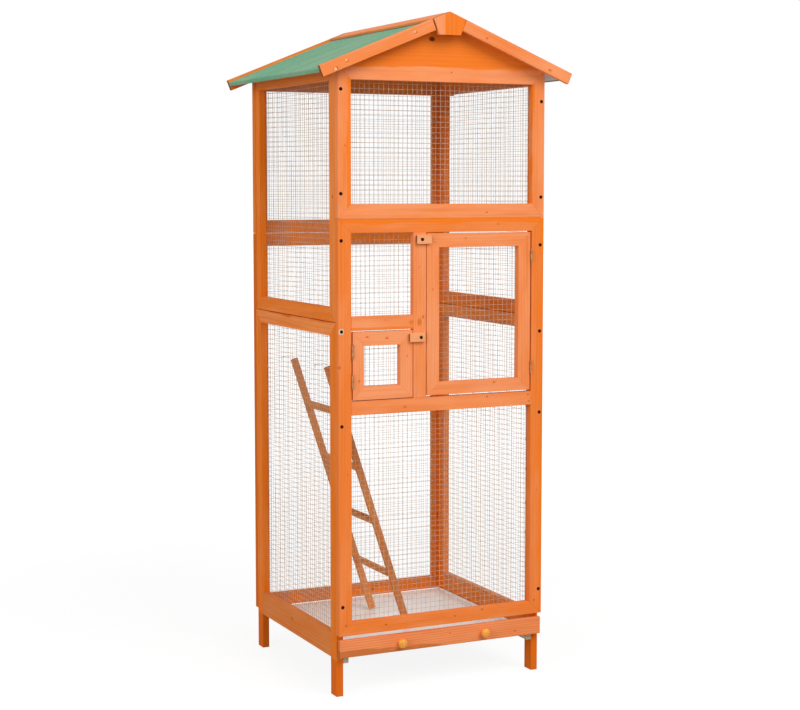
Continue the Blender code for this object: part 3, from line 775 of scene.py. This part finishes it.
def build_roof_panels(board, felt):
    """A thin deck board under felt, which is folded down round the eave and hangs a little below."""
    reach = (-PANEL_HALF_DEPTH, PANEL_HALF_DEPTH)
    bottom = FELT_REVEAL + PANEL_THICK
    deck_top = FELT_REVEAL + FELT_THICK
    edge = ROOF_END - FELT_THICK
    slope = [ROOF_END * step / FELT_STEPS_DOWN for step in range(1, FELT_STEPS_DOWN)]

    def lift(x, y):
        return noise.noise(Vector((x * 9, y * 7, 3.0))) * 0.0007 - 0.0003

    for side, sign in SIDES:
        deck = Piece(f"{side}_roof_deck", board, slot="raw_wood")
        deck.strip([ridge_point(sign, deck_top), ridge_point(sign, bottom),
                    roof_point(sign, edge, bottom), roof_point(sign, edge, deck_top)], reach)
        deck.finish()

        outer = [(along, FELT_REVEAL) for along in slope]
        outer += [(ROOF_END - 0.0022, FELT_REVEAL + 0.0002), (ROOF_END - 0.0006, FELT_REVEAL + 0.0012),
                  (ROOF_END, FELT_REVEAL + 0.0030), (ROOF_END, FELT_SKIRT)]
        under = [(edge, FELT_SKIRT), (edge, deck_top)]
        under += [(along, deck_top) for along in slope[::-1]]
        section = [ridge_point(sign, FELT_REVEAL)]
        section += [roof_point(sign, along, depth) for along, depth in outer + under]
        section.append(ridge_point(sign, deck_top))
        swept(f"{side}_roof_felt", section, reach, FELT_STEPS_ALONG, "cage", felt,
              [f"{side}_roof_panel"], lift)


def wire_object(name, paths, radius, sides, body, material, replaces=()):
    """Thin round wires along paths, each with an even cross-section."""
    points, faces = [], []
    for path in paths:
        path = [Vector(point) for point in path]
        faces += stitched(len(path), sides, len(points))
        guide = None
        for index, point in enumerate(path):
            ahead = (path[min(index + 1, len(path) - 1)] - path[max(index - 1, 0)]).normalized()
            if guide is None:
                guide = ahead.orthogonal().normalized()
            guide = (guide - ahead * guide.dot(ahead)).normalized()
            other = ahead.cross(guide)
            for side in range(sides):
                angle = 2 * pi * side / sides
                points.append(point + (guide * cos(angle) + other * sin(angle)) * radius)
    skin(name, points, faces, body, material, replaces, 80)


def mesh_faces(node, inward):
    """The box of a mesh, the axes square to it and across it, and its face against the timber."""
    low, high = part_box(node)
    flat = 1 if abs(inward.y) > 0.5 else 0
    face = low[flat] if inward[flat] > 0 else high[flat]
    return low, high, flat, 1 - flat, face


def build_mesh(node, body, inward, wire, slack):
    """Welded wire mesh in the place of a flat lattice, uneven as it is when stapled by hand.

    Inward is the direction, along X or Y, from the timber's inner face into the cage.
    """
    low, high, flat, wide, face = mesh_faces(node, inward)
    sign = inward[flat]
    width, height = high[wide] - low[wide], high.z - low.z
    seed = random.Random(node).uniform(0, 50)

    def at(across, up, lift):
        """A point of the sheet: pinned round its edge, slightly slack in the middle."""
        edge = min(across, width - across, up, height - up)
        loose = min(max((edge - 0.006) / 0.05, 0), 1)
        spot = Vector((across * 8, up * 8, seed))
        side = noise.noise(spot) * slack * loose
        rise = noise.noise(spot + Vector((7, 3, 5))) * slack * loose
        belly = (0.6 + noise.noise(spot + Vector((1, 9, 2)))) * 0.0011 * loose
        point = [0.0, 0.0, low.z + up + rise]
        point[wide] = low[wide] + across + side
        point[flat] = face + sign * (WIRE_RADIUS + lift + max(belly, 0))
        return point

    def run(length):
        """Steps along a wire, which ends just inside the solid's edge."""
        count = max(2, round(length / WIRE_STEP))
        steps = [length * step / count for step in range(count + 1)]
        return [min(max(step, WIRE_INSET), length - WIRE_INSET) for step in steps]

    columns = int((width - 0.003) / MESH_PITCH)
    rows = int((height - 0.003) / MESH_PITCH)
    left = (width - columns * MESH_PITCH) / 2
    bottom = (height - rows * MESH_PITCH) / 2
    paths = []
    for column in range(columns + 1):
        across = left + column * MESH_PITCH
        paths.append([at(across, up, 0) for up in run(height)])
    for row in range(rows + 1):
        up = bottom + row * MESH_PITCH
        paths.append([at(across, up, 1.8 * WIRE_RADIUS) for across in run(width)])
    wire_object(f"{node}_wires", paths, WIRE_RADIUS, WIRE_SIDES, body, wire, [node])


def build_meshes(wire):
    for node, (body, inward) in MESH_SIDES.items():
        slack = LEFT_LOWER_SLACK if node == "left_lower_mesh" else SLACK
        build_mesh(node, body, Vector(inward), wire, slack)


def turned_object(name, parts, body, material, replaces=(), smooth=40):
    """One object from turned shapes: profile of radius and distance, steps, centre and direction."""
    points, faces = [], []
    for profile, steps, centre, facing in parts:
        axis = Vector(facing)
        first = axis.orthogonal().normalized()
        second = axis.cross(first)
        faces += stitched(len(profile), steps, len(points))
        for radius, away in profile:
            for step in range(steps):
                angle = 2 * pi * step / steps
                spoke = first * cos(angle) + second * sin(angle)
                points.append(Vector(centre) + axis * away + spoke * max(radius, 0.00001))
    skin(name, points, faces, body, material, replaces, smooth)


def build_tray(drawer_wood, raw_wood, sheet, varnish):
    piece = Piece("tray_front_board", drawer_wood, ["tray_front"], 0.45, "tray")
    knots = [(0.020, 0.128, 0.0020, 0.3), (0.205, 0.113, 0.0022, 0.4)]
    piece.board(rectangle(*TRAY_FRONT), (-OUT_Y, -OUT_Y + TRAY_FRONT_THICK), FRONT, (1, 0), knots,
                edge=0.0012, heart=(-0.05, -1.0, -0.1015))
    piece.finish()
    profile = [(0.0, 0.0170), (0.0030, 0.0169), (0.0058, 0.0164), (0.0084, 0.0154), (0.0104, 0.0139),
               (0.0116, 0.0119), (0.0120, 0.0098), (0.0115, 0.0076), (0.0101, 0.0057),
               (0.0086, 0.0040), (0.0078, 0.0022), (0.0076, 0.0)]
    for side, sign in SIDES:
        centre = (sign * KNOB_PLACE[0], -OUT_Y - GAP, KNOB_PLACE[1])
        turned_object(f"{side}_knob", [(profile, 40, centre, (0, -1, 0))], "tray", varnish,
                      [f"{side}_tray_knob"], 60)
        runner = Piece(f"{side}_runner_wood", raw_wood, [f"{side}_tray_runner"], slot="raw_wood")
        x = sign * (IN_X - GAP - RUNNER_HALF_WIDTH)
        section = rectangle(x - RUNNER_HALF_WIDTH, x + RUNNER_HALF_WIDTH, *RUNNER_HEIGHTS)
        runner.strip(section, (-SIDE_Y, SIDE_Y))
        runner.finish()

    # Right half of the pan's section: round the bend, over the hem and back down to the floor
    out, hem, floor, inside = PAN_HALF_WIDTH, PAN_HEM, PAN_FLOOR, PAN_HALF_WIDTH - PAN_HEM_THICK
    right = [(out - PAN_BEND * (1 - sin(a)), floor - PAN_THICK + PAN_BEND * (1 - cos(a)))
             for a in (0, pi / 6, pi / 3, pi / 2)]
    right += [(out, hem - 0.0008), (out - 0.0004, hem - 0.0001), (out - 0.0011, hem - 0.0001),
              (inside, hem - 0.0008), (inside, hem - 0.0040), (inside, floor + 0.0010),
              (out - 0.0026, floor)]
    left = [(-x, z) for x, z in right[::-1]]
    swept("tray_sheet_pan", right + left, PAN_REACH, 10, "tray", sheet, ["tray_pan"])


def build_buttons(pale_wood, screw):
    """Turn buttons with eased corners, each on a round-headed cross-recessed screw."""
    cut, half = BUTTON_CUT, BUTTON_HALF_HEIGHT
    outer = -OUT_Y - GAP - BUTTON_THICK
    head = [(0.0, 0.0018), (0.0009, 0.0018), (0.0011, 0.0023), (0.0019, 0.0021), (0.0028, 0.0016),
            (0.0036, 0.0009), (0.0042, 0.0001), (0.0042, -0.0006)]
    for name, (body, (x, z), left, right) in BUTTONS.items():
        outline = [(x - left + cut, z - half), (x + right - cut, z - half), (x + right, z - half + cut),
                   (x + right, z + half - cut), (x + right - cut, z + half), (x - left + cut, z + half),
                   (x - left, z + half - cut), (x - left, z - half + cut)]
        piece = Piece(f"{name}_block", pale_wood, [name], body=body, slot="button_wood")
        piece.board(outline, (outer, -OUT_Y - GAP), along=(1, 0), edge=0.0011)
        piece.finish()
        turned_object(f"{name}_screw_head", [(head, 24, (x, outer - GAP, z), (0, -1, 0))], "cage",
                      screw, [f"{name}_screw"], 50)


def build_ladder(wood, wire):
    """Two rails, four flat rungs, and the two wire hooks that hang it on the mesh."""
    along = Vector((-sin(LADDER_LEAN), 0, cos(LADDER_LEAN)))
    normal = Vector((cos(LADDER_LEAN), 0, sin(LADDER_LEAN)))
    foot = Vector((LADDER_FOOT[0], 0, LADDER_FOOT[1])) + normal * RAIL_DEPTH / 2

    # Across is Y, up is along the ladder, and depth is square to it
    place = Matrix((
        (0, along.x, normal.x, foot.x), (1, 0, 0, 0),
        (0, along.z, normal.z, foot.z), (0, 0, 0, 1),
    ))
    for name, y in RAILS.items():
        rail = Piece(f"ladder_{name}_rail_wood", wood, [f"ladder_{name}_rail"], 0.5, "ladder")
        rail.board(rectangle(y - RAIL_WIDTH / 2, y + RAIL_WIDTH / 2, 0, LADDER_LENGTH),
                   (-RAIL_DEPTH / 2, RAIL_DEPTH / 2), place, edge=0.0012)
        rail.finish()

        # Out of the rail's top, over a wire of the mesh and down behind it
        top = foot + along * (LADDER_LENGTH - 0.012)
        hung = Vector((HOOK_TOP[0] - 0.0035, 0, HOOK_TOP[1]))
        corner = foot + along * ((hung.z - foot.z) / along.z)
        path = [top, corner - along * 0.003, corner + Vector((-0.0025, 0, 0)), hung + Vector((0.0022, 0, 0)),
                hung + Vector((0, 0, -0.0022)), hung + Vector((0, 0, -0.0090))]
        path = [point + Vector((0, y, 0)) for point in path]
        wire_object(f"ladder_{name}_hook_wire", [path], HOOK_RADIUS, 8, "ladder", wire,
                    [f"ladder_{name}_hook"])
    for index in range(RUNG_COUNT):
        up = RUNG_FIRST + RUNG_SPACING * index
        rung = Piece(f"ladder_rung_{index + 1}_wood", wood, [f"ladder_rung_{index + 1}"], 0.3, "ladder")
        outline = rectangle(*RUNG_REACH, up - RUNG_HEIGHT / 2, up + RUNG_HEIGHT / 2)
        rung.board(outline, (-RUNG_THICK / 2, RUNG_THICK / 2), place, (1, 0), edge=0.0015)
        rung.finish()


def build_fasteners(screw, bare_wood, filler):
    """Countersunk screws down both edges of the front and back, and filled nails in the roof boards."""
    head = [(0.0, 0.00005), (0.0009, 0.00005), (0.0014, 0.0004), (0.0036, 0.0005), (0.0043, 0.0002),
            (0.0043, -0.0012)]
    parts = []
    for sign, heights in SCREW_HEIGHTS.items():
        for z in heights:
            x = sign * SCREW_X + random.Random(z).uniform(-0.0015, 0.0015)
            parts.append((head, 16, (x, -OUT_Y - 0.0001, z), (0, -1, 0)))
            parts.append((head, 16, (-x, OUT_Y + 0.0001, z + 0.004), (0, 1, 0)))
    turned_object("panel_screws", parts, "cage", screw)

    # Stain chipped away round one screw
    x, z = -0.2725, 0.8900
    chip = [(x - 0.0066, z - 0.0052), (x - 0.0010, z - 0.0070), (x + 0.0052, z - 0.0060),
            (x + 0.0066, z + 0.0010), (x + 0.0050, z + 0.0072), (x - 0.0030, z + 0.0066),
            (x - 0.0070, z + 0.0020)]
    piece = Piece("left_stile_bare_patch", bare_wood, stain=0.0, slot="raw_wood")
    piece.board(chip, (-OUT_Y - 0.00008, -OUT_Y + 0.0002), edge=0)
    piece.finish()

    # Plugs in the front left barge board: across, up and radius
    plug = [(0.0, 0.0003), (0.72, 0.0003), (1.0, 0.0001), (1.0, -0.0008)]
    parts = []
    for x, z, radius in ((-0.2715, 1.5262, 0.0030), (-0.0938, 1.5985, 0.0028), (-0.2990, 1.5053, 0.0042)):
        profile = [(share * radius, lift) for share, lift in plug]
        parts.append((profile, 16, (x, -ROOF_HALF_DEPTH, z), (0, -1, 0)))
    turned_object("barge_plugs", parts, "cage", filler)

    nail = [(0.0, 0.0002), (0.0009, 0.0001), (0.0012, -0.0006)]
    places = [roof_point(sign, along, depth) for sign in (-1, 1)
              for along, depth in ((0.055, 0.013), (0.200, 0.016), (0.345, 0.012))]
    places += [(-0.026, 1.620), (0.026, 1.620)]
    parts = [(nail, 10, (x, ROOF_HALF_DEPTH, z), (0, 1, 0)) for x, z in places]
    turned_object("roof_nails", parts, "cage", screw)


def staple_path(centre, side, inward):
    """A driven staple: its crown lies along side, over the wires, and its legs go into the wood."""
    lift = inward * 0.0019
    left, right = centre - side * STAPLE_HALF_WIDTH, centre + side * STAPLE_HALF_WIDTH
    return [left - inward * 0.002, left + lift * 0.8, left + lift + side * 0.0006,
            right + lift - side * 0.0006, right + lift * 0.8, right - inward * 0.002]


def evenly(low, high):
    """The middles of equal stretches between two limits, each about a staple's spacing long."""
    count = max(2, round((high - low) / STAPLE_SPACING))
    return [low + (high - low) * (step + 0.5) / count for step in range(count)]


def build_staples(steel):
    """Staples along the margins of every mesh, a little askew as they are when driven by hand."""
    groups = {"cage": [], "large_door": [], "small_door": []}
    for node, (body, inward) in MESH_SIDES.items():
        inward = Vector(inward)
        low, high, flat, wide, face = mesh_faces(node, inward)
        luck = random.Random(node + " staples")
        across = (low[wide] + STAPLE_MARGIN, high[wide] - STAPLE_MARGIN)
        up = (low.z + STAPLE_MARGIN, high.z - STAPLE_MARGIN)
        places = [(a, z) for a in across for z in evenly(*up)]
        places += [(a, z) for z in up for a in evenly(*across)]
        for a, z in places:
            centre = Vector((0, 0, z + luck.uniform(-0.004, 0.004)))
            centre[wide] = a + luck.uniform(-0.0015, 0.0015)
            centre[flat] = face
            upright = a in across
            turn = luck.uniform(-0.35, 0.35)
            side = Vector()
            side[wide] = sin(turn) if upright else cos(turn)
            side.z = cos(turn) if upright else sin(turn)
            groups[body].append(staple_path(centre, side, inward))
    for body, paths in groups.items():
        wire_object(f"{body}_staples", paths, STAPLE_RADIUS, 4, body, steel)


def by_ray(n, unseen, seen):
    """Joins two shaders: the second for what the camera sees, also in gloss or through glass."""
    rays = n.add("ShaderNodeLightPath").outputs
    factor = n.math("MAXIMUM", rays["Is Camera Ray"], rays["Is Glossy Ray"])
    factor = n.math("MAXIMUM", factor, rays["Is Transmission Ray"])
    inputs = {0: factor, 1: unseen.outputs[0], 2: seen.outputs[0]}
    return n.add("ShaderNodeMixShader", inputs).outputs[0]


def build_world():
    """Even light on the object, and plain white where the camera looks past it."""
    world = bpy.context.scene.world or bpy.data.worlds.new("studio")
    bpy.context.scene.world = world
    n = Nodes("studio", world)
    n.tree.nodes.clear()
    ambient = n.add("ShaderNodeBackground", {"Color": (255, 255, 255), "Strength": AMBIENT})
    white = n.add("ShaderNodeBackground", {"Color": (255, 255, 255)})
    n.add("ShaderNodeOutputWorld", {"Surface": by_ray(n, ambient, white)})


def build_floor():
    """A pale floor that keeps a soft shadow and turns to plain white further out."""
    work = bmesh.new()
    bmesh.ops.create_circle(work, cap_ends=True, segments=96, radius=30.0)
    mesh = bpy.data.meshes.new("floor")
    work.to_mesh(mesh)
    work.free()
    floor = add_object("floor", mesh)
    floor.location = (0, 0, -0.0005)
    n = Nodes("floor")
    n.tree.nodes.remove(n.shader)
    away = n.length(n.place())
    matt = n.add("ShaderNodeBsdfDiffuse", {"Color": (0.42, 0.42, 0.41, 1.0)})
    faint = n.add("ShaderNodeBsdfDiffuse", {"Color": (0.16, 0.16, 0.16, 1.0)})
    glow = n.add("ShaderNodeEmission", {"Strength": n.spread(away, 0.9, 4.0, 0.875)})
    both = n.add("ShaderNodeAddShader", {0: faint.outputs[0], 1: glow.outputs[0]})
    n.put(n.tree.nodes["Material Output"].inputs["Surface"], by_ray(n, matt, both))
    mesh.materials.append(n.owner)


def build_lamps():
    for name, (place, size, power) in LAMPS.items():
        light = bpy.data.lights.new(name, "AREA")
        light.shape = "DISK"
        light.size = size
        light.energy = power
        item = add_object(name, light)
        item.location = place
        item.rotation_euler = (Vector(LAMP_AIM) - Vector(place)).to_track_quat("-Z", "Y").to_euler()


def build_camera():
    camera = bpy.data.cameras.new("camera")
    camera.lens = CAMERA_LENS
    camera.sensor_width = CAMERA_SENSOR
    camera.shift_y = CAMERA_SHIFT
    item = add_object("camera", camera)
    item.location = CAMERA_PLACE
    item.rotation_euler = (radians(CAMERA_TILT), 0, radians(CAMERA_TURN))
    bpy.context.scene.camera = item


def dress_cad_nodes(brass):
    """Hinge leaves keep their solids and get their metal."""
    for name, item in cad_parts.items():
        if name.endswith("_leaf"):
            item.data.materials.clear()
            item.data.materials.append(brass)


def main():
    build_camera()
    build_world()
    build_floor()
    build_lamps()
    bpy.context.scene.view_settings.view_transform = "Standard"

    wood = wood_material(
        "stained_pine", light=(250, 158, 106), deep=(243, 130, 56), heartwood=(248, 126, 30),
        streak=(212, 98, 30), knot=(112, 40, 10))
    # Side panels: a deeper, more saturated copy of the stained pine; the difference is painted shade for the
    # side walls
    shaded_side_wood = wood_material(
        "shaded_side_pine", light=(250, 152, 84), deep=(242, 124, 26), heartwood=(226, 106, 16),
        streak=(200, 88, 14), knot=(104, 40, 8))
    # Back frames and back roof boards: a darker copy of the stained pine; the difference is painted shade, as
    # they are seen in shade inside and behind the cage
    shaded_back_wood = wood_material(
        "shaded_back_pine", light=(238, 142, 62), deep=(226, 114, 24), heartwood=(216, 104, 18),
        streak=(190, 86, 14), knot=(96, 38, 8))
    drawer_wood = wood_material(
        "drawer_pine", light=(250, 154, 100), deep=(238, 132, 70), heartwood=(200, 116, 60),
        streak=(204, 92, 36), knot=(110, 44, 12), rings=0.34, dark_ends=0.15)
    # Ladder: its own duller stain, and darker still as painted shade for its place inside the cage
    ladder_wood = wood_material(
        "ladder_pine", light=(222, 148, 90), deep=(200, 116, 56), heartwood=(180, 98, 42),
        streak=(160, 84, 34), knot=(90, 40, 14))
    pale_wood = wood_material(
        "pale_pine", light=(250, 178, 128), deep=(244, 158, 102), heartwood=(244, 156, 98),
        streak=(222, 128, 66), knot=(130, 60, 24), rings=0.25)
    raw_wood = wood_material(
        "raw_pine", light=(232, 210, 180), deep=(214, 186, 150), heartwood=(200, 170, 132),
        streak=(176, 144, 108), knot=(96, 60, 34), dark_ends=0.10)
    deck_board = wood_material(
        "deck_board", light=(242, 246, 246), deep=(228, 233, 234), heartwood=(218, 224, 225),
        streak=(204, 210, 211), knot=(150, 152, 150))
    # Zinc wire; its warm tan tint is painted reflection of the orange wood round it
    wire = metal_material("galvanised_wire", (216, 190, 168), (184, 158, 136), 0.10, 0.50, 0.15)
    steel = metal_material("staple_steel", (196, 196, 198), (160, 162, 166), 0.60, 0.40)
    brass = metal_material("hinge_brass", (190, 134, 84), (150, 98, 60), 0.55, 0.45)
    # Screw and nail heads are near black brown: painted shade for the dark hollow each head sits in
    screw = metal_material("dark_screw", (34, 16, 10), (20, 10, 6), 0.0, 0.60, 0.08)

    build_end_frames(wood, shaded_back_wood)
    build_side_frames(shaded_side_wood)
    build_doors(wood)
    build_roof_boards(wood, shaded_back_wood)
    build_roof_panels(deck_board, felt_material())
    build_meshes(wire)
    build_staples(steel)
    build_tray(drawer_wood, raw_wood, sheet_material(), varnish_material())
    build_buttons(pale_wood, screw)
    build_ladder(ladder_wood, wire)
    build_fasteners(screw, raw_wood, filler_material())
    dress_cad_nodes(brass)


main()
